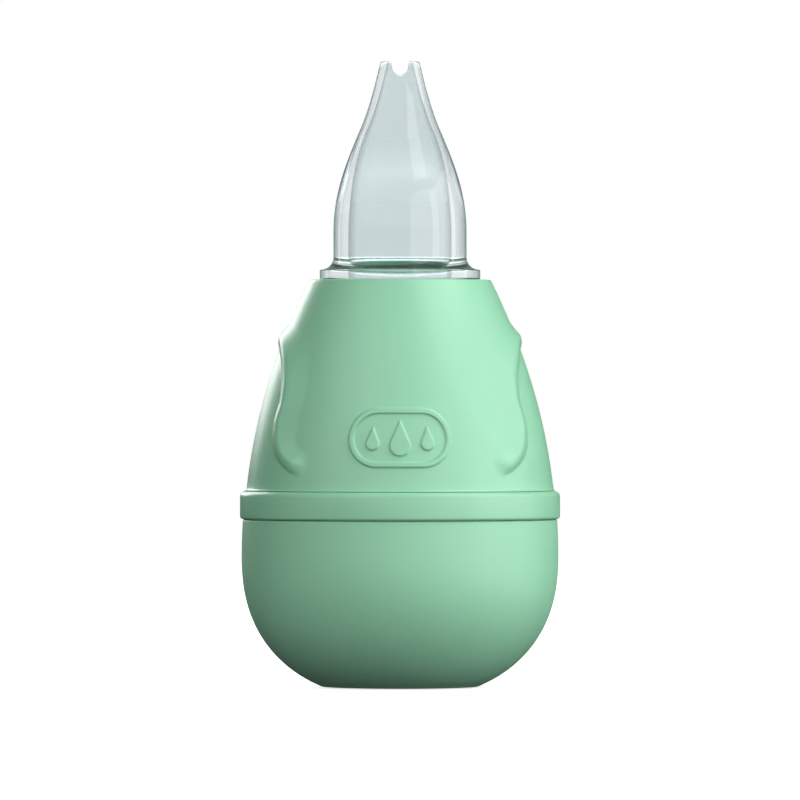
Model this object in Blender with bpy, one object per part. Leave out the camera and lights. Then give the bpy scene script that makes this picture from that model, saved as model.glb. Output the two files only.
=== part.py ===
"""Nasal aspirator: a clear, soft nozzle plugged into a squeeze bulb that opens in two.

It stands on its flat base with +Z up through the nozzle. The origin is the centre of the base.
The front, where the emblem is, faces -Y, and the two finger rests face +X and -X.

Nodes
    nozzle        clear silicone nose tip with a notched mouth, a flange and a ribbed plug
    upper_shell   firm upper part of the bulb, with the nozzle's socket and the finger rests
    lock_ring     band that snaps over the upper shell's rim and holds the bowl against it
    squeeze_bowl  soft lower part of the bulb, with a flat base for the thumb
"""

import math

import bmesh
import bpy
from mathutils import Vector
from mathutils.geometry import interpolate_bezier

MM = 0.001  # outlines are drawn in millimetres, and meshes are built in metres

# ---- driving dimensions, in millimetres ----
TOTAL_HEIGHT = 109.3
FIT_GAP = 0.3  # between faces of two pieces that touch
CHAMFER = 0.3  # on small edges

# lock ring
RING_RADIUS = 28.0
RING_BOTTOM = 29.3
RING_TOP = 34.2
RING_TOP_ROUND = 0.95
RING_BOTTOM_ROUND = 0.5
RING_BORE = 26.3
RING_LIP_BORE = 25.6
RING_LIP_TOP = 30.3
SNAP_HEIGHT = 33.1  # middle of the shell's snap bead, and of the groove in the ring
SNAP_HALF_WIDTH = 0.5
SNAP_PROUD = 0.3

# upper shell
FOOT_RADIUS = 26.9  # of the outside, just above the ring
FOOT_FLARE = 0.15
NECK_TOP = 71.1
BODY_TAPER = 0.1046  # inward lean just above the ring
BODY_CURVE = 0.005245  # how fast that lean grows, per millimetre of height
SHELL_WALL = 1.9
SHELL_RIM_BOTTOM = 32.1
SOCKET_RADIUS = 11.2
SOCKET_BOTTOM = 64.0
SOCKET_WALL = 1.8
NECK_PLATE = 2.2

# squeeze bowl
BOWL_RADIUS = 27.72
BOWL_WIDEST = 22.7  # height where it is widest
BOWL_DEPTH = 25.0  # how far below its widest height the full curve would close
BOWL_POWER = 2.3  # 2 is an ellipse, and more is squarer
BOWL_TOP_INSET = 0.22  # how much narrower it is again just under the ring
BOWL_WALL = 2.0
BOWL_FLOOR = 3.2
RIM_BORE = 23.4

# nozzle
TIP_RADIUS = 3.5
TIP_ROUND = 0.4
WAIST = (7.2, 96.9)  # a (radius, height) point half way up the cone
NOZZLE_RADIUS = 11.65
SHOULDER_HEIGHT = 79.5  # where the cone ends and the straight part begins
FLANGE_RADIUS = 14.05
FLANGE_TOP = 73.0
FLANGE_FILLET = 2.2
TIP_WALL = 1.25
FOOT_WALL = 2.6
WALL_HEIGHTS = (82.0, 98.0)  # the wall is as thick as the foot's below these, and as the tip's above
PLUG_RADIUS = 10.7
PLUG_BOTTOM = 63.4
RIB_PROUD = 0.2
RIB_HEIGHTS = (69.4, 67.4, 65.4)
NOTCH_RADIUS = 1.4
NOTCH_DEPTH = 2.4

# crest of the raised edge round a finger rest: distance round the bulb from its side, and height
CREST_LINE = (
    (0.0, 61.6),
    (4.8, 60.9),
    (9.2, 58.5),
    (12.8, 55.0),
    (15.0, 50.4),
    (15.1, 46.4),
    (17.0, 42.2),
    (20.4, 39.6),
    (24.2, 38.6),
)
CREST_LIFT = 0.93
TOP_WIDTHS = (2.5, 2.4)  # of the edge's inner and outer slopes, above the rest
SIDE_WIDTHS = (2.6, 4.4)  # the same, beside the rest
HOOK_WIDTHS = (2.0, 2.6)  # and where it hooks towards the front or the back, below the rest
CREST_FADE = (0.9, 1.0)  # shares of the crest's length between which it dies away


def clear_scene():
    for thing in list(bpy.data.objects):
        bpy.data.objects.remove(thing)


def plastic(name, colour, roughness, alpha=1.0):
    material = bpy.data.materials.new(name)
    material.use_nodes = True
    shader = material.node_tree.nodes["Principled BSDF"]
    shader.inputs["Base Color"].default_value = (*colour, 1.0)
    shader.inputs["Roughness"].default_value = roughness
    shader.inputs["Metallic"].default_value = 0.0
    shader.inputs["Alpha"].default_value = alpha
    material.diffuse_color = (*colour, alpha)
    return material


# ---- lines in the (radius, height) plane ----
def arc(centre, radius, start, end, steps=3):
    """Points on an arc from one angle to another, in degrees."""
    turns = [math.radians(start + (end - start) * i / steps) for i in range(steps + 1)]
    return [(centre[0] + radius * math.cos(a), centre[1] + radius * math.sin(a)) for a in turns]


def bezier(start, start_handle, end_handle, end, points):
    knots = [Vector((x, 0, z)) for x, z in (start, start_handle, end_handle, end)]
    return [(p.x, p.z) for p in interpolate_bezier(*knots, points)]


def smooth_line(knots, spans=5):
    """A smooth line through the knots (Catmull-Rom)."""
    points = [Vector(k) for k in knots]
    points = [points[0] * 2 - points[1], *points, points[-1] * 2 - points[-2]]
    line = []
    for a, b, c, d in zip(points, points[1:], points[2:], points[3:]):
        for t in evenly(0, 1, spans)[:-1]:
            bend = (2 * a - 5 * b + 4 * c - d) * t**2 + (3 * b - a - 3 * c + d) * t**3
            line.append(0.5 * (2 * b + (c - a) * t + bend))
    return [*line, points[-2]]


def evenly(low, high, count):
    return [low + (high - low) * i / count for i in range(count + 1)]


def ramp(low, high, value):
    """0 below low, 1 above high, and a smooth rise between."""
    t = min(1.0, max(0.0, (value - low) / (high - low)))
    return t * t * (3 - 2 * t)


def blend(pair, share):
    return pair[0] + (pair[1] - pair[0]) * share


# ---- the bulb's outside ----
def body_radius(height):
    """Outside of the upper shell, without the raised edges of its finger rests."""
    rise = height - RING_TOP
    return FOOT_RADIUS - BODY_TAPER * rise - BODY_CURVE * rise * rise


def bowl_radius(height, inset=0.0):
    """Outside of the bowl, or the surface that lies inset inside it."""
    share = min(1.0, max(0.0, BOWL_WIDEST - height) / (BOWL_DEPTH - inset))
    below = (BOWL_RADIUS - inset) * (1 - share**BOWL_POWER) ** (1 / BOWL_POWER)
    rise = max(0.0, height - BOWL_WIDEST) / (RING_BOTTOM - BOWL_WIDEST)
    return below - BOWL_TOP_INSET * rise**2


def along_crest():
    """The crest's straight steps, as (start, step, share of the crest passed, share of its length)."""
    line = smooth_line(CREST_LINE)
    steps = [b - a for a, b in zip(line, line[1:])]
    whole = sum(step.length for step in steps)
    passed = 0.0
    for start, step in zip(line, steps):
        yield start, step, passed / whole, step.length / whole
        passed += step.length


CREST_STEPS = list(along_crest())


def crest_lift(angle, height):
    """How far the raised edge of a finger rest lifts the surface at a point."""
    from_side = abs(math.atan2(math.sin(angle), abs(math.cos(angle))))
    point = Vector((from_side * body_radius(height), height))
    nearest = 1e9
    for start, step, passed, part in CREST_STEPS:
        share = min(1.0, max(0.0, (point - start).dot(step) / step.length_squared))
        off = point - (start + step * share)
        if off.length < nearest:
            nearest = off.length
            inside = step.x * off.y - step.y * off.x < 0
            place = passed + part * share
    top, beside, hook = (widths[0 if inside else 1] for widths in (TOP_WIDTHS, SIDE_WIDTHS, HOOK_WIDTHS))
    width = blend((blend((top, beside), ramp(0.05, 0.35, place)), hook), ramp(0.7, 0.88, place))
    down = min(1.0, nearest / width)  # 0 on the crest, and 1 at the foot of its slope
    across = 1 - down**2 if inside else (1 - down) ** 1.4
    return CREST_LIFT * across * (1 - ramp(*CREST_FADE, place))


# ---- mesh makers ----
def turned(name, outline, columns, material, lifted=(), crowding=0.0):
    """A closed outline of (radius, height) points turned about Z.

    The points of the outline whose places are in lifted stand proud by crest_lift. Crowding
    draws the columns closer together half way between the sides and the front and back, where
    the crest runs down. Points at radius 0 are one vertex each.
    """
    shape = bmesh.new()
    evens = [math.tau * column / columns for column in range(columns)]
    angles = [even + crowding * math.sin(4 * even) for even in evens]
    rings = []
    for place, (radius, height) in enumerate(outline):
        if radius == 0:
            rings.append([shape.verts.new((0, 0, height * MM))] * columns)
            continue
        radii = [radius + (crest_lift(a, height) if place in lifted else 0) for a in angles]
        spots = [(r * math.cos(a), r * math.sin(a), height) for a, r in zip(angles, radii)]
        rings.append([shape.verts.new(Vector(spot) * MM) for spot in spots])
    for low, high in zip(rings, rings[1:] + rings[:1]):
        for column in range(columns):
            after = (column + 1) % columns
            corners = dict.fromkeys((low[column], low[after], high[after], high[column]))
            if len(corners) > 2:
                shape.faces.new(corners)
    return finished(name, shape, material)


def finished(name, shape, material):
    bmesh.ops.recalc_face_normals(shape, faces=shape.faces)
    mesh = bpy.data.meshes.new(name)
    shape.to_mesh(mesh)
    shape.free()
    mesh.shade_smooth()
    mesh.set_sharp_from_angle(angle=math.radians(35))
    thing = bpy.data.objects.new(name, mesh)
    bpy.context.scene.collection.objects.link(thing)
    if material:
        mesh.materials.append(material)
    return thing


def prism_along_y(name, outline, depth):
    """An outline of (x, z) points carried along Y by depth, centred on the axis."""
    shape = bmesh.new()
    face = shape.faces.new([shape.verts.new((x * MM, -depth / 2 * MM, z * MM)) for x, z in outline])
    made = bmesh.ops.extrude_face_region(shape, geom=[face])["geom"]
    moved = [v for v in made if isinstance(v, bmesh.types.BMVert)]
    bmesh.ops.translate(shape, vec=(0, depth * MM, 0), verts=moved)
    return finished(name, shape, None)


# ---- pieces ----
def make_upper_shell(material):
    shoulder = RING_TOP + FIT_GAP
    rim_radius = RING_BORE - FIT_GAP - SNAP_PROUD
    rim_bore = rim_radius - SHELL_WALL
    plate = NECK_TOP - NECK_PLATE
    socket_outside = SOCKET_RADIUS + SOCKET_WALL
    outside = [(body_radius(z), z) for z in evenly(NECK_TOP - CHAMFER, shoulder + 2 * FOOT_FLARE, 34)]
    inside = [(body_radius(z) - SHELL_WALL, z) for z in evenly(shoulder + SHELL_WALL, plate, 8)]
    outline = [
        (SOCKET_RADIUS, SOCKET_BOTTOM + CHAMFER),
        (SOCKET_RADIUS, NECK_TOP - CHAMFER),
        (SOCKET_RADIUS + CHAMFER, NECK_TOP),
        (body_radius(NECK_TOP) - CHAMFER, NECK_TOP),
    ]
    lifted = range(len(outline), len(outline) + len(outside))
    outline += outside
    outline += [
        (FOOT_RADIUS + FOOT_FLARE, shoulder),
        (rim_radius, shoulder),
        (rim_radius, SNAP_HEIGHT + SNAP_HALF_WIDTH),
        (rim_radius + SNAP_PROUD, SNAP_HEIGHT),
        (rim_radius, SNAP_HEIGHT - SNAP_HALF_WIDTH),
        (rim_radius, SHELL_RIM_BOTTOM + CHAMFER),
        (rim_radius - CHAMFER, SHELL_RIM_BOTTOM),
        (rim_bore + CHAMFER, SHELL_RIM_BOTTOM),
        (rim_bore, SHELL_RIM_BOTTOM + CHAMFER),
        (rim_bore, RING_TOP),
    ]
    outline += inside
    outline += [
        (socket_outside, plate),
        (socket_outside, SOCKET_BOTTOM + CHAMFER),
        (socket_outside - CHAMFER, SOCKET_BOTTOM),
        (SOCKET_RADIUS + CHAMFER, SOCKET_BOTTOM),
    ]
    return turned("upper_shell", outline, 96, material, lifted, crowding=0.1)


def make_lock_ring(material):
    top_corner = (RING_RADIUS - RING_TOP_ROUND, RING_TOP - RING_TOP_ROUND)
    bottom_corner = (RING_RADIUS - RING_BOTTOM_ROUND, RING_BOTTOM + RING_BOTTOM_ROUND)
    outline = arc(top_corner, RING_TOP_ROUND, 90, 0, 5)
    outline += arc(bottom_corner, RING_BOTTOM_ROUND, 0, -90)
    outline += [
        (RING_LIP_BORE, RING_BOTTOM),
        (RING_LIP_BORE, RING_LIP_TOP),
        (RING_BORE, RING_LIP_TOP),
        (RING_BORE, SNAP_HEIGHT - SNAP_HALF_WIDTH),
        (RING_BORE + SNAP_PROUD, SNAP_HEIGHT),
        (RING_BORE, SNAP_HEIGHT + SNAP_HALF_WIDTH),
        (RING_BORE, RING_TOP - CHAMFER),
        (RING_BORE + CHAMFER, RING_TOP),
    ]
    return turned("lock_ring", outline, 72, material)


def make_squeeze_bowl(material):
    shoulder = RING_BOTTOM - FIT_GAP
    groove_radius = RING_LIP_BORE - FIT_GAP
    rim_radius = RING_BORE - FIT_GAP
    rim_bottom = RING_LIP_TOP + FIT_GAP
    rim_top = SHELL_RIM_BOTTOM - FIT_GAP
    climb = [1 - math.cos(math.radians(a)) for a in evenly(0, 90, 12)]
    outline = [(0, 0)]
    outline += [(bowl_radius(BOWL_WIDEST * c), BOWL_WIDEST * c) for c in climb]
    outline += [(bowl_radius(z), z) for z in evenly(BOWL_WIDEST, shoulder - CHAMFER, 3)[1:]]
    outline += [
        (bowl_radius(shoulder) - CHAMFER, shoulder),
        (groove_radius, shoulder),
        (groove_radius, rim_bottom),
        (rim_radius, rim_bottom),
        (rim_radius, rim_top),
        (RIM_BORE, rim_top),
        (RIM_BORE, shoulder),
    ]
    inner_heights = [BOWL_FLOOR + (BOWL_WIDEST - BOWL_FLOOR) * c for c in climb]
    outline += [(bowl_radius(z, BOWL_WALL), z) for z in reversed(inner_heights)]
    outline += [(0, BOWL_FLOOR)]
    return turned("squeeze_bowl", outline, 72, material)


def nozzle_side(points):
    """The nozzle's outside from under its mouth down to its shoulder."""
    tip = (TIP_RADIUS, TOTAL_HEIGHT - TIP_ROUND)
    shoulder = (NOZZLE_RADIUS, SHOULDER_HEIGHT)
    upper = bezier(tip, (4.45, 104.9), (5.55, 100.6), WAIST, points)
    lower = bezier(WAIST, (9.5, 91.5), (NOZZLE_RADIUS, 86.2), shoulder, points)
    return upper + lower[1:]


def make_nozzle(material):
    side = nozzle_side(8)
    bore = [(r - blend((FOOT_WALL, TIP_WALL), ramp(*WALL_HEIGHTS, z)), z) for r, z in side[1:]]
    bore_radius = NOZZLE_RADIUS - FOOT_WALL
    flange_bottom = NECK_TOP + FIT_GAP
    fillet_centre = (NOZZLE_RADIUS + FLANGE_FILLET, FLANGE_TOP + FLANGE_FILLET)
    outline = [(TIP_RADIUS - TIP_WALL, TOTAL_HEIGHT)]
    outline += arc((TIP_RADIUS - TIP_ROUND, TOTAL_HEIGHT - TIP_ROUND), TIP_ROUND, 90, 0)[:-1]
    outline += side
    outline += arc(fillet_centre, FLANGE_FILLET, 180, 262, 5)
    outline += [
        (FLANGE_RADIUS, FLANGE_TOP - CHAMFER),
        (FLANGE_RADIUS, flange_bottom + CHAMFER),
        (FLANGE_RADIUS - CHAMFER, flange_bottom),
        (PLUG_RADIUS, flange_bottom),
    ]
    for height in RIB_HEIGHTS:
        outline += [
            (PLUG_RADIUS, height + 2 * RIB_PROUD),
            (PLUG_RADIUS + RIB_PROUD, height),
            (PLUG_RADIUS, height - 2 * RIB_PROUD),
        ]
    outline += [
        (PLUG_RADIUS, PLUG_BOTTOM + CHAMFER),
        (PLUG_RADIUS - CHAMFER, PLUG_BOTTOM),
        (bore_radius + CHAMFER, PLUG_BOTTOM),
        (bore_radius, PLUG_BOTTOM + CHAMFER),
    ]
    outline += reversed(bore)
    nozzle = turned("nozzle", outline, 48, material)
    cut_notch(nozzle)
    return nozzle


def cut_notch(nozzle):
    """Cut a round-bottomed slot right across the mouth, so that it can't seal on skin."""
    centre = TOTAL_HEIGHT - NOTCH_DEPTH + NOTCH_RADIUS
    above = TOTAL_HEIGHT + 1
    outline = [*arc((0, centre), NOTCH_RADIUS, 180, 360, 10), (NOTCH_RADIUS, above), (-NOTCH_RADIUS, above)]
    cutter = prism_along_y("mouth_notch_cutter", outline, 4 * TIP_RADIUS)
    cutter.hide_render = True
    cutter.display_type = "WIRE"
    cut = nozzle.modifiers.new("mouth_notch", "BOOLEAN")
    cut.operation = "DIFFERENCE"
    cut.solver = "EXACT"
    cut.object = cutter


def main():
    clear_scene()
    firm_green = plastic("firm_green", (0.28, 0.62, 0.41), 0.42)
    soft_green = plastic("soft_green", (0.28, 0.62, 0.41), 0.5)
    clear_silicone = plastic("clear_silicone", (0.80, 0.87, 0.88), 0.08, alpha=0.4)
    upper_shell = make_upper_shell(firm_green)
    lock_ring = make_lock_ring(firm_green)
    squeeze_bowl = make_squeeze_bowl(soft_green)
    nozzle = make_nozzle(clear_silicone)
    nozzle.parent = upper_shell
    lock_ring.parent = upper_shell
    squeeze_bowl.parent = lock_ring


main()
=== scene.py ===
"""The finished look of the nasal aspirator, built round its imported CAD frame.

Each piece is a finely turned mesh that follows its CAD solid, with rounded edges. The clear nozzle
is a hollow one that refracts. The front faces -Y. Outlines are (radius, height) points in
millimetres.
"""
import math

import bmesh
import bpy
import numpy as np
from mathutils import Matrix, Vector
from mathutils.geometry import interpolate_bezier


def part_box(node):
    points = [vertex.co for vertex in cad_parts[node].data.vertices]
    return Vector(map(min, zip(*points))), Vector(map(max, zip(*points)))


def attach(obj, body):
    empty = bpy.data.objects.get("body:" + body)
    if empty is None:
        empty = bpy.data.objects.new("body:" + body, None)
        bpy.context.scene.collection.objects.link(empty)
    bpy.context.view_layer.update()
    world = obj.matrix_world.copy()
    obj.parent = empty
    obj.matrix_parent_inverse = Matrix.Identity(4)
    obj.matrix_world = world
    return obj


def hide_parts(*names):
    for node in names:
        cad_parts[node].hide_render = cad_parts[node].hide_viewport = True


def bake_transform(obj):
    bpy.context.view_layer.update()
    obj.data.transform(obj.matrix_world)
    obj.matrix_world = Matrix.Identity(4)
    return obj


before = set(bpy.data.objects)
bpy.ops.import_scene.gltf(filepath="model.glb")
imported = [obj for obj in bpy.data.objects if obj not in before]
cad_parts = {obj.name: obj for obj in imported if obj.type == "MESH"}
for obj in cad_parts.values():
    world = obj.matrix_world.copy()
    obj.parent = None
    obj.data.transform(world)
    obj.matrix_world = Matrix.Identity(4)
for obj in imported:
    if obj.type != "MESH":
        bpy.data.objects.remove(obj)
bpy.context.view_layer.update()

MM = 0.001


def extent(node):
    """(radius along Y, lowest height, highest height) of a CAD node, in millimetres."""
    low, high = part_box(node)
    return high.y / MM, low.z / MM, high.z / MM


# ---- dimensions, in millimetres: the frame's, and then the CAD's own that its boxes don't give ----
RING_RADIUS, RING_BOTTOM, RING_TOP = extent("lock_ring")
BOWL_RADIUS, BASE, BOWL_RIM_TOP = extent("squeeze_bowl")
FLANGE_RADIUS, PLUG_BOTTOM, TOTAL_HEIGHT = extent("nozzle")
_, SHELL_RIM_BOTTOM, NECK_TOP = extent("upper_shell")
FIT_GAP = 0.3
SEAM_GAP = 0.06  # what shows of a gap from outside

# the ring
RING_BORE = 26.3
RING_LIP_BORE = 25.6
RING_LIP_TOP = 30.3
SNAP_HEIGHT = 33.1
SNAP_HALF_WIDTH = 0.5
SNAP_PROUD = 0.3

# the upper shell
FOOT_RADIUS = 26.9
BODY_TAPER = 0.1046
BODY_CURVE = 0.005245
SHELL_WALL = 1.9
SOCKET_RADIUS = 11.2
SOCKET_BOTTOM = 64.0
SOCKET_WALL = 1.8
NECK_PLATE = 2.2

# the bowl: its outside is a superellipse, from the base up to its widest height
BOWL_WIDEST = 22.7
BOWL_DEPTH = 25.0
BOWL_POWER = 2.3
BOWL_TOP_INSET = 0.22
BOWL_WALL = 2.0
BOWL_FLOOR = 3.2
RIM_BORE = 23.4

# the nozzle
TIP_RADIUS = 3.5
WAIST = (7.2, 96.9)
NOZZLE_RADIUS = 11.65
SHOULDER_HEIGHT = 79.5
FLANGE_TOP = 73.0
FLANGE_FILLET = 2.2
TIP_WALL = 1.25
FOOT_WALL = 2.6
WALL_HEIGHTS = (82.0, 98.0)
PLUG_RADIUS = 10.7
RIB_PROUD = 0.2
RIB_HEIGHTS = (69.4, 67.4, 65.4)
NOTCH_RADIUS = 1.4
NOTCH_DEPTH = 2.4

# the finger rests' raised edge: its line, as (distance round from the side, height), and the
# widths of its slope as (inside the line, outside it) at the top, beside and in the hook
CREST_LINE = (
    (0.0, 61.6),
    (4.8, 60.9),
    (9.2, 58.5),
    (12.8, 55.0),
    (15.0, 50.4),
    (15.1, 46.4),
    (17.0, 42.2),
    (20.4, 39.6),
    (24.2, 38.6),
)
CREST_LIFT = 0.93
TOP_WIDTHS = (2.5, 2.4)
SIDE_WIDTHS = (2.6, 4.4)
HOOK_WIDTHS = (2.0, 2.6)
CREST_OUTER_POWER = 1.4
# shares of the line over which the top turns into the side, the side into the hook, and it ends
SIDE_STARTS = (0.05, 0.35)
HOOK_STARTS = (0.7, 0.88)
CREST_FADE = (0.9, 1.0)

# the emblem
EMBLEM_HEIGHT = 43.6
EMBLEM_HALF_SIZE = (8.9, 5.1)
EMBLEM_PROUD = 0.42
EMBLEM_LINE = 0.45
EMBLEM_SOFTNESS = 0.2
DROPS = ((0.0, -1.4, 1.75), (-4.7, -1.0, 1.15), (4.7, -1.0, 1.15))  # x, y and radius of each

# ---- mesh fineness ----
SHELL_ROWS = 148
SHELL_COLUMNS = 440
INSIDE_ROWS = 9
GREEN_COLUMNS = 256
BOWL_ROWS = 48
NOZZLE_COLUMNS = 192
NOZZLE_ROWS = 36
NOTCH_STEPS = 24

# ---- materials ----
GREEN = (0.28, 0.61, 0.40)
CLOUD_TINT = 0.03  # how far the cloudiness moves the colour
CLOUD_POLISH = 0.04  # and the roughness
CLOUD_SCALE = 60
GRAIN_SCALE = 4500
GRAIN_DEPTH = 0.00005
SILICONE_IOR = 1.41
SILICONE_HAZE = (0.02, 0.06)
SILICONE_HAZE_SCALE = 180
SILICONE_TINT = (0.765, 0.822, 0.832, 1)
# painted shade: the nearly black green the nozzle's colour turns to seen edge-on, which paints dark
# lines along its edges
SILICONE_PAINTED_EDGE_SHADE = (0.04, 0.09, 0.085, 1)
SILICONE_EDGE_SHADE_FACING = (0.46, 0.84)  # Layer Weight's Facing, from the plain tint to the painted edge shade

# ---- studio, in metres ----
SENSOR_WIDTH = 36  # millimetres
CAMERA_DISTANCE = 1.5
CAMERA_HEIGHT = 0.0501
FRAME_WIDTH = 0.140  # what the camera sees at the bulb's axis
LAMP_TARGET = (0, 0, 0.05)
GROUND_GLOW = 0.057
FLOOR_RADIUS = 4.0
FLOOR_DROP = 0.0002
FLOOR_GLOW = (0.75, 1.0)
FLOOR_GLOW_REACH = (0.1, 0.8)  # distances from the middle that the floor's glow rises between


# ---- lines ----
def evenly(low, high, count):
    return np.linspace(low, high, count + 1)


def crowded(low, high, count, crowds):
    """Places from low to high, closer together round each (centre, half width, times closer)."""
    fine = np.linspace(low, high, 4001)
    density = np.ones_like(fine)
    for centre, half_width, times in crowds:
        density += (times - 1) * (1 - ramp(half_width, 1.35 * half_width, np.abs(fine - centre)))
    passed = np.concatenate([[0], np.cumsum((density[1:] + density[:-1]) / 2)])
    return np.interp(np.linspace(0, passed[-1], count + 1), passed, fine)


def ramp(low, high, value):
    """0 below low, 1 above high, and a smooth rise between."""
    t = np.clip((value - low) / (high - low), 0, 1)
    return t * t * (3 - 2 * t)


def blend(first, second, share):
    return first + (second - first) * share


def bezier(start, start_handle, end_handle, end, points):
    knots = [Vector((x, 0, z)) for x, z in (start, start_handle, end_handle, end)]
    return [(p.x, p.z) for p in interpolate_bezier(*knots, points)]


def smooth_line(knots, spans=8):
    """A smooth line through the knots (Catmull-Rom)."""
    points = [Vector(k) for k in knots]
    points = [points[0] * 2 - points[1], *points, points[-1] * 2 - points[-2]]
    line = []
    for a, b, c, d in zip(points, points[1:], points[2:], points[3:]):
        for t in evenly(0, 1, spans)[:-1]:
            bend = (2 * a - 5 * b + 4 * c - d) * t**2 + (3 * b - a - 3 * c + d) * t**3
            line.append(0.5 * (2 * b + (c - a) * t + bend))
    return [*line, points[-2]]


def rounded(corners, steps=5):
    """The points of an open line whose (radius, height, rounding) corners are rounded off."""
    points = []
    for place, (r, z, rounding) in enumerate(corners):
        here = Vector((r, z))
        if not rounding:
            points.append((r, z))
            continue
        back = (Vector(corners[place - 1][:2]) - here).normalized()
        ahead = (Vector(corners[place + 1][:2]) - here).normalized()
        half = back.angle(ahead) / 2
        reach = rounding / math.tan(half)
        centre = here + (back + ahead).normalized() * (rounding / math.sin(half))
        start = (here + back * reach - centre).normalized()
        end = (here + ahead * reach - centre).normalized()
        for share in evenly(0, 1, steps):
            points.append(tuple(centre + start.slerp(end, share) * rounding))
    return points


# ---- the bulb's outside ----
def body_radius(height):
    rise = height - RING_TOP
    return FOOT_RADIUS - BODY_TAPER * rise - BODY_CURVE * rise * rise


def bowl_radius(height, inset=0.0):
    share = min(1.0, max(0.0, BOWL_WIDEST - height) / (BOWL_DEPTH - inset))
    below = (BOWL_RADIUS - inset) * (1 - share**BOWL_POWER) ** (1 / BOWL_POWER)
    rise = max(0.0, height - BOWL_WIDEST) / (RING_BOTTOM - BOWL_WIDEST)
    return below - BOWL_TOP_INSET * rise**2


def crest_lift(angles, heights):
    """Lift of the finger rests' raised edges, at arrays of angles and heights."""
    from_side = np.abs(np.arctan2(np.sin(angles), np.abs(np.cos(angles))))
    x = from_side * body_radius(heights)
    line = smooth_line(CREST_LINE)
    whole = sum((b - a).length for a, b in zip(line, line[1:]))
    nearest = np.full_like(x, 1e9)
    inside = np.zeros_like(x, dtype=bool)
    place = np.zeros_like(x)
    passed = 0.0
    for a, b in zip(line, line[1:]):
        step = b - a
        share = np.clip(((x - a.x) * step.x + (heights - a.y) * step.y) / step.length_squared, 0, 1)
        off_x = x - a.x - share * step.x
        off_z = heights - a.y - share * step.y
        distance = np.hypot(off_x, off_z)
        closer = distance < nearest
        nearest = np.where(closer, distance, nearest)
        inside = np.where(closer, step.x * off_z - step.y * off_x < 0, inside)
        place = np.where(closer, (passed + share * step.length) / whole, place)
        passed += step.length
    beside = ramp(*SIDE_STARTS, place)
    hooked = ramp(*HOOK_STARTS, place)
    inner, outer = (
        blend(blend(top, side, beside), hook, hooked)
        for top, side, hook in zip(TOP_WIDTHS, SIDE_WIDTHS, HOOK_WIDTHS)
    )
    off = np.clip(nearest / np.where(inside, inner, outer), 0, 1)
    across = np.where(inside, 1 - off**2, (1 - off) ** CREST_OUTER_POWER)
    return CREST_LIFT * across * (1 - ramp(*CREST_FADE, place))


def drop_distance(x, y, radius):
    """Distance outside a drop whose round part is centred at (0, 0) and whose point is up."""
    height = 2.3 * radius
    tip = 0.12 * radius
    lean = (radius - tip) / height
    straight = math.sqrt(1 - lean**2)
    x = np.abs(x)
    along = straight * y - lean * x
    flank = straight * x + lean * y - radius
    round_part = np.hypot(x, y) - radius
    point = np.hypot(x, y - height) - tip
    return np.where(along < 0, round_part, np.where(along > straight * height, point, flank))


def emblem_lift(angles, heights):
    """Lift of the plain raised emblem on the front: three drops in a capsule-shaped line."""
    x = (angles + math.pi / 2) * body_radius(EMBLEM_HEIGHT)
    y = heights - EMBLEM_HEIGHT
    half_width, half_height = EMBLEM_HALF_SIZE
    beyond = np.maximum(np.abs(x) - (half_width - half_height), 0)
    outline = np.abs(np.hypot(beyond, y) - half_height + EMBLEM_LINE) - EMBLEM_LINE
    shapes = [outline] + [drop_distance(x - cx, y - cy, r) for cx, cy, r in DROPS]
    nearest = np.minimum.reduce(shapes)
    return EMBLEM_PROUD * (1 - ramp(-EMBLEM_SOFTNESS / 2, EMBLEM_SOFTNESS / 2, nearest))


# ---- mesh makers ----
def turned(name, outline, angles, lift=None, capped=False):
    """A closed outline turned about Z through the angles. Lift gives how far points stand proud.

    If it is capped, the outline is an open one, and a fan joins each of its ends to the axis.
    """
    outline = np.array(outline)
    columns, rows = len(angles), len(outline)
    turn, height = np.meshgrid(angles, outline[:, 1])
    radius = np.repeat(outline[:, :1], columns, axis=1)
    if lift:
        radius = radius + lift(turn, height, radius)
    spots = np.stack([radius * np.cos(turn), radius * np.sin(turn), height], axis=-1) * MM
    points = spots.reshape(-1, 3).tolist()
    faces = []
    for row in range(rows - 1 if capped else rows):
        low, high = row * columns, (row + 1) % rows * columns
        for column in range(columns):
            after = (column + 1) % columns
            faces.append((low + column, low + after, high + after, high + column))
    for row in (0, rows - 1) if capped else ():
        ring = [row * columns + column for column in range(columns)]
        faces += [(a, b, len(points)) for a, b in zip(ring, ring[1:] + ring[:1])]
        points.append((0, 0, outline[row, 1] * MM))
    mesh = bpy.data.meshes.new(name)
    mesh.from_pydata(points, [], faces)
    return finished(name, mesh)


def finished(name, mesh):
    shape = bmesh.new()
    shape.from_mesh(mesh)
    bmesh.ops.recalc_face_normals(shape, faces=shape.faces)
    shape.to_mesh(mesh)
    shape.free()
    mesh.shade_smooth()
    thing = bpy.data.objects.new(name, mesh)
    bpy.context.scene.collection.objects.link(thing)
    return thing


def even_angles(columns):
    return math.tau * np.arange(columns) / columns


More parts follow.
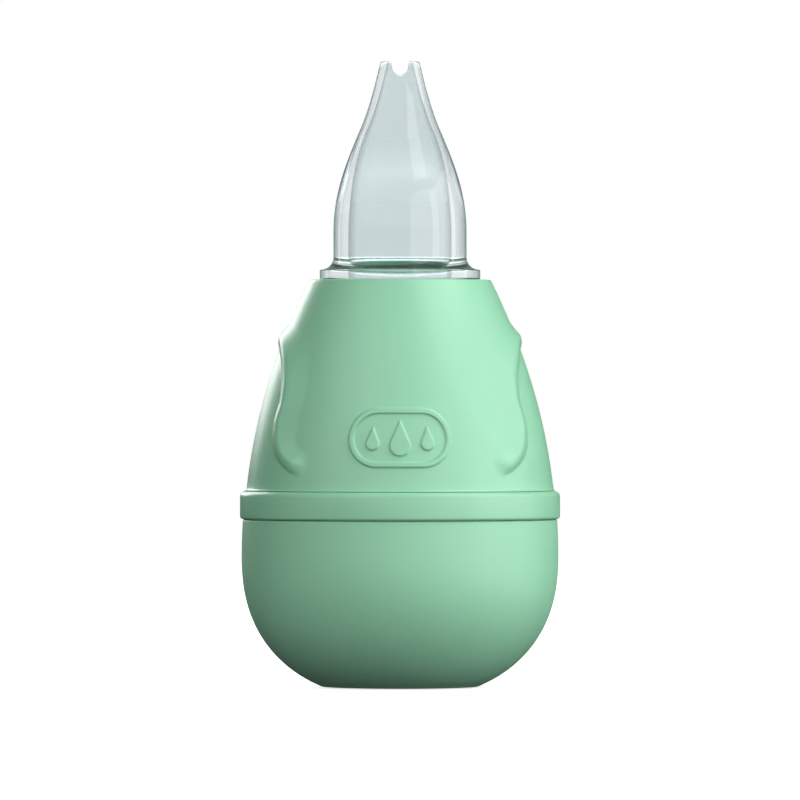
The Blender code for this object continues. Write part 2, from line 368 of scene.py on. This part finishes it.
# ---- pieces ----
def make_upper_shell():
    shoulder = RING_TOP + SEAM_GAP
    rim = RING_BORE - FIT_GAP - SNAP_PROUD
    rim_bore = rim - SHELL_WALL
    plate = NECK_TOP - NECK_PLATE
    socket_outside = SOCKET_RADIUS + SOCKET_WALL
    start = NECK_TOP - 1.1
    neck = rounded([
        (SOCKET_RADIUS, start, 0),
        (SOCKET_RADIUS, NECK_TOP, 0.4),
        (body_radius(NECK_TOP), NECK_TOP, 0.35),
        (body_radius(start), start, 0),
    ])[:-1]
    heights = crowded(NECK_TOP, shoulder, SHELL_ROWS, [(EMBLEM_HEIGHT, 5.5, 4.0), (54, 9, 1.6)])
    outside = [(body_radius(z), z) for z in heights if NECK_TOP - 0.5 > z > shoulder + 0.9]
    foot = rounded([
        (body_radius(shoulder + 0.9), shoulder + 0.9, 0),
        (FOOT_RADIUS, shoulder + 0.3, 0.4),
        (FOOT_RADIUS + 0.25, shoulder, 0.06),
        (rim, shoulder, 0.1),
        (rim, SNAP_HEIGHT + SNAP_HALF_WIDTH, 0.1),
        (rim + SNAP_PROUD, SNAP_HEIGHT, 0.15),
        (rim, SNAP_HEIGHT - SNAP_HALF_WIDTH, 0.1),
        (rim, SHELL_RIM_BOTTOM, 0.3),
        (rim_bore, SHELL_RIM_BOTTOM, 0.3),
        (rim_bore, RING_TOP, 0.8),
        (body_radius(RING_TOP + 3) - SHELL_WALL, RING_TOP + 3, 0),
    ], 2)[1:-1]
    inside = [(body_radius(z) - SHELL_WALL, z) for z in evenly(RING_TOP + 3, plate - 1, INSIDE_ROWS)]
    socket = rounded([
        (body_radius(plate - 1) - SHELL_WALL, plate - 1, 0),
        (body_radius(plate) - SHELL_WALL, plate, 0.6),
        (socket_outside, plate, 0.5),
        (socket_outside, SOCKET_BOTTOM, 0.3),
        (SOCKET_RADIUS, SOCKET_BOTTOM, 0.3),
        (SOCKET_RADIUS, start, 0),
    ], 2)[1:-1]
    low, high = shoulder + 0.6, NECK_TOP - 0.45

    def lift(turn, height, radius):
        on_outside = (np.abs(radius - body_radius(height)) < 0.05) & (height > low) & (height < high)
        return np.where(on_outside, crest_lift(turn, height) + emblem_lift(turn, height), 0)

    front = -math.pi / 2
    legs = [side * math.pi + turn for side, turn in ((-1, 0.66), (0, -0.66), (0, 0.66), (1, -0.66))]
    crowds = [(front, 0.36, 5.0), *[(leg, 0.3, 2.0) for leg in legs]]
    angles = crowded(-math.pi, math.pi, SHELL_COLUMNS, crowds)
    return turned("upper_shell_skin", neck + outside + foot + inside + socket, angles[:-1], lift)


def make_lock_ring():
    middle = (RING_BOTTOM + RING_TOP) / 2
    outline = rounded([
        (RING_RADIUS, middle, 0),
        (RING_RADIUS, RING_TOP, 0.95),
        (RING_BORE, RING_TOP, 0.3),
        (RING_BORE, SNAP_HEIGHT + SNAP_HALF_WIDTH, 0.1),
        (RING_BORE + SNAP_PROUD, SNAP_HEIGHT, 0.15),
        (RING_BORE, SNAP_HEIGHT - SNAP_HALF_WIDTH, 0.1),
        (RING_BORE, RING_LIP_TOP, 0.1),
        (RING_LIP_BORE, RING_LIP_TOP, 0.2),
        (RING_LIP_BORE, RING_BOTTOM, 0.2),
        (RING_RADIUS, RING_BOTTOM, 0.5),
        (RING_RADIUS, middle - 0.5, 0),
    ])
    return turned("lock_ring_skin", outline, even_angles(GREEN_COLUMNS))


def make_squeeze_bowl():
    shoulder = RING_BOTTOM - SEAM_GAP
    groove = RING_LIP_BORE - FIT_GAP
    rim = RING_BORE - FIT_GAP
    rim_bottom = RING_LIP_TOP + FIT_GAP
    climb = 1 - np.cos(np.radians(evenly(0, 90, BOWL_ROWS)))
    heights = BOWL_WIDEST * climb
    base = [(3, BASE)]
    base += rounded([(6, BASE, 0), (bowl_radius(0), BASE, 0.35), (bowl_radius(0.8), 0.8, 0)])[:-1]
    outside = [(bowl_radius(z), z) for z in heights if z > 0.6]
    outside += [(bowl_radius(z), z) for z in evenly(BOWL_WIDEST, shoulder - 0.6, 12)[1:]]
    rim_line = rounded([
        (bowl_radius(shoulder - 0.6), shoulder - 0.6, 0),
        (bowl_radius(shoulder), shoulder, 0.3),
        (groove, shoulder, 0.15),
        (groove, rim_bottom, 0.15),
        (rim, rim_bottom, 0.2),
        (rim, BOWL_RIM_TOP, 0.3),
        (RIM_BORE, BOWL_RIM_TOP, 0.3),
        (RIM_BORE, shoulder, 0),
    ])[1:]
    inner_heights = BOWL_FLOOR + (BOWL_WIDEST - BOWL_FLOOR) * climb[::-2]
    inside = [(bowl_radius(z, BOWL_WALL), z) for z in inner_heights]
    floor = [(10, BOWL_FLOOR), (5, BOWL_FLOOR)]
    outline = base + outside + rim_line + inside + floor
    return turned("squeeze_bowl_skin", outline, even_angles(GREEN_COLUMNS), capped=True)


def make_nozzle():
    tip = (TIP_RADIUS, TOTAL_HEIGHT - 0.4)
    shoulder = (NOZZLE_RADIUS, SHOULDER_HEIGHT)
    upper = bezier(tip, (4.45, 104.9), (5.55, 100.6), WAIST, NOZZLE_ROWS)
    lower = bezier(WAIST, (9.5, 91.5), (NOZZLE_RADIUS, 86.2), shoulder, NOZZLE_ROWS)
    side = upper + lower[1:]
    bore = [(r - blend(FOOT_WALL, TIP_WALL, ramp(*WALL_HEIGHTS, z)), z) for r, z in side[2:]]
    bore_radius = bore[-1][0]
    mouth_radius = TIP_RADIUS - TIP_WALL
    flange_bottom = NECK_TOP + SEAM_GAP
    mouth = rounded([
        (mouth_radius, 108, 0),
        (mouth_radius, TOTAL_HEIGHT, 0.25),
        (TIP_RADIUS, TOTAL_HEIGHT, 0.4),
        (*tip, 0),
    ])[1:-1]
    flange = rounded([
        (NOZZLE_RADIUS, SHOULDER_HEIGHT - 1, 0),
        (NOZZLE_RADIUS, FLANGE_TOP + 0.25, FLANGE_FILLET),
        (FLANGE_RADIUS, FLANGE_TOP - 0.15, 0.2),
        (FLANGE_RADIUS, flange_bottom, 0.25),
        (PLUG_RADIUS, flange_bottom, 0.15),
        (PLUG_RADIUS, flange_bottom - 1, 0),
    ], 8)[1:-1]
    ribs = []
    for height in RIB_HEIGHTS:
        ribs += [(PLUG_RADIUS, height + 2 * RIB_PROUD, 0.1)]
        ribs += [(PLUG_RADIUS + RIB_PROUD, height, 0.1)]
        ribs += [(PLUG_RADIUS, height - 2 * RIB_PROUD, 0.1)]
    plug = rounded([
        (PLUG_RADIUS, flange_bottom - 1, 0),
        *ribs,
        (PLUG_RADIUS, PLUG_BOTTOM, 0.3),
        (bore_radius, PLUG_BOTTOM, 0.3),
        (bore_radius, SHOULDER_HEIGHT, 0),
    ])[1:-1]
    outline = mouth + side + flange + plug + bore[::-1]
    nozzle = turned("nozzle_skin", outline, even_angles(NOZZLE_COLUMNS))
    cut_notch(nozzle)
    return nozzle


def cut_notch(nozzle):
    """Cut the round-bottomed slot across the mouth."""
    centre = TOTAL_HEIGHT - NOTCH_DEPTH + NOTCH_RADIUS
    turns = np.radians(evenly(180, 360, NOTCH_STEPS))
    outline = [(NOTCH_RADIUS * math.cos(t), centre + NOTCH_RADIUS * math.sin(t)) for t in turns]
    outline += [(NOTCH_RADIUS, TOTAL_HEIGHT + 1), (-NOTCH_RADIUS, TOTAL_HEIGHT + 1)]
    shape = bmesh.new()
    corners = [shape.verts.new((x * MM, -2 * TIP_RADIUS * MM, z * MM)) for x, z in outline]
    face = shape.faces.new(corners)
    made = bmesh.ops.extrude_face_region(shape, geom=[face])["geom"]
    moved = [v for v in made if isinstance(v, bmesh.types.BMVert)]
    bmesh.ops.translate(shape, vec=(0, 4 * TIP_RADIUS * MM, 0), verts=moved)
    mesh = bpy.data.meshes.new("notch_cutter")
    shape.to_mesh(mesh)
    shape.free()
    cutter = finished("notch_cutter", mesh)
    cut = nozzle.modifiers.new("notch", "BOOLEAN")
    cut.operation = "DIFFERENCE"
    cut.solver = "EXACT"
    cut.object = cutter
    bpy.context.view_layer.update()
    evaluated = nozzle.evaluated_get(bpy.context.evaluated_depsgraph_get())
    cut_mesh = bpy.data.meshes.new_from_object(evaluated)
    nozzle.modifiers.clear()
    nozzle.data = cut_mesh
    nozzle.data.set_sharp_from_angle(angle=math.radians(50))
    bpy.data.objects.remove(cutter)


# ---- materials ----
def new_material(name):
    material = bpy.data.materials.new(name)
    material.use_nodes = True
    return material, material.node_tree.nodes, material.node_tree.links


def moulded_plastic(name, colour, roughness, grain):
    """Satin moulded plastic: a faint cloudiness and a fine spark-eroded grain."""
    material, nodes, links = new_material(name)
    shader = nodes["Principled BSDF"]
    shader.inputs["Specular IOR Level"].default_value = 0.45
    place = nodes.new("ShaderNodeTexCoord")

    cloud = nodes.new("ShaderNodeTexNoise")
    cloud.inputs["Scale"].default_value = CLOUD_SCALE
    cloud.inputs["Detail"].default_value = 4
    links.new(place.outputs["Object"], cloud.inputs["Vector"])
    tint = nodes.new("ShaderNodeMix")
    tint.data_type = "RGBA"
    tint.inputs["A"].default_value = (*[c * (1 - CLOUD_TINT) for c in colour], 1)
    tint.inputs["B"].default_value = (*[min(1, c * (1 + CLOUD_TINT)) for c in colour], 1)
    links.new(cloud.outputs["Fac"], tint.inputs["Factor"])
    links.new(tint.outputs["Result"], shader.inputs["Base Color"])

    polish = nodes.new("ShaderNodeMapRange")
    polish.inputs["To Min"].default_value = roughness - CLOUD_POLISH
    polish.inputs["To Max"].default_value = roughness + CLOUD_POLISH
    links.new(cloud.outputs["Fac"], polish.inputs["Value"])
    links.new(polish.outputs["Result"], shader.inputs["Roughness"])

    fine = nodes.new("ShaderNodeTexNoise")
    fine.inputs["Scale"].default_value = GRAIN_SCALE
    fine.inputs["Detail"].default_value = 2
    links.new(place.outputs["Object"], fine.inputs["Vector"])
    bump = nodes.new("ShaderNodeBump")
    bump.inputs["Strength"].default_value = grain
    bump.inputs["Distance"].default_value = GRAIN_DEPTH
    links.new(fine.outputs["Fac"], bump.inputs["Height"])
    links.new(bump.outputs["Normal"], shader.inputs["Normal"])
    return material


def clear_silicone():
    """Clear silicone with a faint haze, and painted shade: its colour turns nearly black green seen
    edge-on, which paints dark lines along its edges.

    The painted edge shade isn't measured from silicone: its range was chosen to draw the photo's
    inner line.
    """
    material, nodes, links = new_material("clear_silicone_painted_edge_shade")
    shader = nodes["Principled BSDF"]
    shader.inputs["IOR"].default_value = SILICONE_IOR
    shader.inputs["Transmission Weight"].default_value = 1.0
    place = nodes.new("ShaderNodeTexCoord")
    cloud = nodes.new("ShaderNodeTexNoise")
    cloud.inputs["Scale"].default_value = SILICONE_HAZE_SCALE
    links.new(place.outputs["Object"], cloud.inputs["Vector"])
    haze = nodes.new("ShaderNodeMapRange")
    haze.inputs["To Min"].default_value, haze.inputs["To Max"].default_value = SILICONE_HAZE
    links.new(cloud.outputs["Fac"], haze.inputs["Value"])
    links.new(haze.outputs["Result"], shader.inputs["Roughness"])
    # painted shade: seen edge-on the base colour turns nearly black green, which draws dark lines
    # along the nozzle's edges
    slant = nodes.new("ShaderNodeLayerWeight")
    edge = nodes.new("ShaderNodeMapRange")
    edge.inputs["From Min"].default_value, edge.inputs["From Max"].default_value = SILICONE_EDGE_SHADE_FACING
    links.new(slant.outputs["Facing"], edge.inputs["Value"])
    tint = nodes.new("ShaderNodeMix")
    tint.data_type = "RGBA"
    tint.inputs["A"].default_value = SILICONE_TINT
    tint.inputs["B"].default_value = SILICONE_PAINTED_EDGE_SHADE
    links.new(edge.outputs["Result"], tint.inputs["Factor"])
    links.new(tint.outputs["Result"], shader.inputs["Base Color"])
    return material


# ---- studio ----
def point_at(thing, target):
    thing.rotation_euler = (Vector(target) - thing.location).to_track_quat("-Z", "Y").to_euler()


def softbox(name, azimuth, elevation, distance, size, power, colour=(1, 1, 1)):
    """An area light that isn't seen itself, even through the nozzle.

    Azimuth 0 is behind the camera, and 90 is on the object's +X side.
    """
    light = bpy.data.lights.new(name, "AREA")
    light.shape = "RECTANGLE"
    light.size, light.size_y = size
    light.energy = power
    light.color = colour
    lamp = bpy.data.objects.new(name, light)
    a, e = math.radians(azimuth), math.radians(elevation)
    out = Vector((math.sin(a) * math.cos(e), -math.cos(a) * math.cos(e), math.sin(e)))
    lamp.location = Vector(LAMP_TARGET) + out * distance
    bpy.context.scene.collection.objects.link(lamp)
    lamp.visible_camera = False
    lamp.visible_transmission = False
    point_at(lamp, LAMP_TARGET)
    return lamp


def light_only(lamps, piece, state="INCLUDE"):
    """These lamps light only the piece, or everything but the piece if the state is EXCLUDE."""
    group = bpy.data.collections.new(f"{state.lower()}_{piece.name}")
    group.objects.link(piece)
    group.collection_objects[0].light_linking.link_state = state
    for lamp in lamps:
        lamp.light_linking.receiver_collection = group


def make_lamps(nozzle):
    """Three lamps light everything, two only the clear nozzle, and six everything but the nozzle."""
    softbox("key", 45, 5, 1.0, (1.0, 0.8), 5.2)
    softbox("side", 85, 5, 1.0, (1.0, 0.8), 5.6)
    softbox("high_front", 45, 52, 1.0, (0.45, 0.7), 2.6)
    light_only([
        softbox("streak", -131, 12, 1.0, (0.12, 0.9), 0.5),
        softbox("backdrop", 180, 15, 1.5, (3.0, 1.6), 6.0, (0.75, 1.0, 0.94)),
    ], nozzle)
    light_only([
        softbox("high_side", 80, 50, 1.0, (0.5, 0.5), 3.3),
        softbox("high_left", -40, 30, 1.0, (0.8, 0.8), 3.2),
        softbox("front_fill", 0, 10, 1.0, (0.8, 0.8), 2.7),
        softbox("left_fill", -70, 5, 1.0, (1.0, 0.8), 1.1),
        softbox("rim", -152, 18, 1.0, (0.3, 0.45), 2.9),
        softbox("back_fill", -170, 25, 1.0, (0.8, 0.8), 1.5),
    ], nozzle, "EXCLUDE")


def make_world():
    """White to the camera and through the nozzle. Elsewhere black, with a faint glow from below."""
    world = bpy.data.worlds.new("studio")
    bpy.context.scene.world = world
    world.use_nodes = True
    nodes, links = world.node_tree.nodes, world.node_tree.links
    place = nodes.new("ShaderNodeTexCoord")
    direction = nodes.new("ShaderNodeSeparateXYZ")
    links.new(place.outputs["Generated"], direction.inputs["Vector"])
    glow = nodes.new("ShaderNodeMapRange")
    glow.inputs["From Min"].default_value = -0.2
    glow.inputs["From Max"].default_value = 0.0
    glow.inputs["To Min"].default_value = GROUND_GLOW
    glow.inputs["To Max"].default_value = 0.0
    links.new(direction.outputs["Z"], glow.inputs["Value"])
    path = nodes.new("ShaderNodeLightPath")
    seen = nodes.new("ShaderNodeMath")
    seen.operation = "MAXIMUM"
    links.new(path.outputs["Is Camera Ray"], seen.inputs[0])
    links.new(path.outputs["Is Transmission Ray"], seen.inputs[1])
    strength = nodes.new("ShaderNodeMath")
    strength.operation = "MAXIMUM"
    links.new(seen.outputs["Value"], strength.inputs[0])
    links.new(glow.outputs["Result"], strength.inputs[1])
    background = nodes["Background"]
    background.inputs["Color"].default_value = (1, 1, 1, 1)
    links.new(strength.outputs["Value"], background.inputs["Strength"])


def make_floor():
    """A pale glowing disc that doesn't light the object or reflect in it."""
    floor_mesh = bpy.data.meshes.new("floor")
    shape = bmesh.new()
    bmesh.ops.create_circle(shape, cap_ends=True, segments=128, radius=FLOOR_RADIUS)
    shape.to_mesh(floor_mesh)
    shape.free()
    floor = bpy.data.objects.new("floor", floor_mesh)
    bpy.context.scene.collection.objects.link(floor)
    floor.location.z = -FLOOR_DROP
    material, nodes, links = new_material("pale_floor")
    shader = nodes["Principled BSDF"]
    shader.inputs["Base Color"].default_value = (0.9, 0.9, 0.9, 1)
    shader.inputs["Roughness"].default_value = 0.9
    shader.inputs["Emission Color"].default_value = (1, 1, 1, 1)
    place = nodes.new("ShaderNodeTexCoord")
    distance = nodes.new("ShaderNodeVectorMath")
    distance.operation = "LENGTH"
    links.new(place.outputs["Object"], distance.inputs[0])
    glow = nodes.new("ShaderNodeMapRange")
    glow.inputs["From Min"].default_value, glow.inputs["From Max"].default_value = FLOOR_GLOW_REACH
    glow.inputs["To Min"].default_value, glow.inputs["To Max"].default_value = FLOOR_GLOW
    links.new(distance.outputs["Value"], glow.inputs["Value"])
    links.new(glow.outputs["Result"], shader.inputs["Emission Strength"])
    floor.data.materials.append(material)
    floor.visible_diffuse = False
    floor.visible_glossy = False


def make_camera():
    camera_data = bpy.data.cameras.new("camera")
    camera = bpy.data.objects.new("camera", camera_data)
    bpy.context.scene.collection.objects.link(camera)
    camera.location = (0, -CAMERA_DISTANCE, CAMERA_HEIGHT)
    point_at(camera, (0, 0, CAMERA_HEIGHT))
    camera_data.sensor_width = SENSOR_WIDTH
    camera_data.lens = SENSOR_WIDTH * CAMERA_DISTANCE / FRAME_WIDTH
    bpy.context.scene.camera = camera


def main():
    firm = moulded_plastic("firm_green_finish", GREEN, 0.36, 0.2)
    soft = moulded_plastic("soft_green_finish", GREEN, 0.44, 0.3)
    clear = clear_silicone()

    shell = make_upper_shell()
    ring = make_lock_ring()
    bowl = make_squeeze_bowl()
    nozzle = make_nozzle()
    for piece, node, slot, material in (
        (shell, "upper_shell", "firm_green", firm),
        (ring, "lock_ring", "firm_green", firm),
        (bowl, "squeeze_bowl", "soft_green", soft),
        (nozzle, "nozzle", "clear_silicone", clear),
    ):
        piece.data.materials.clear()
        piece.data.materials.append(material)
        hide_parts(node)
    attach(shell, "upper")
    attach(ring, "ring")
    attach(nozzle, "nozzle")
    nozzle.visible_shadow = False
    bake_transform(bowl)

    make_world()
    make_floor()
    make_lamps(nozzle)
    make_camera()
    bpy.context.scene.view_settings.view_transform = "Standard"


main()
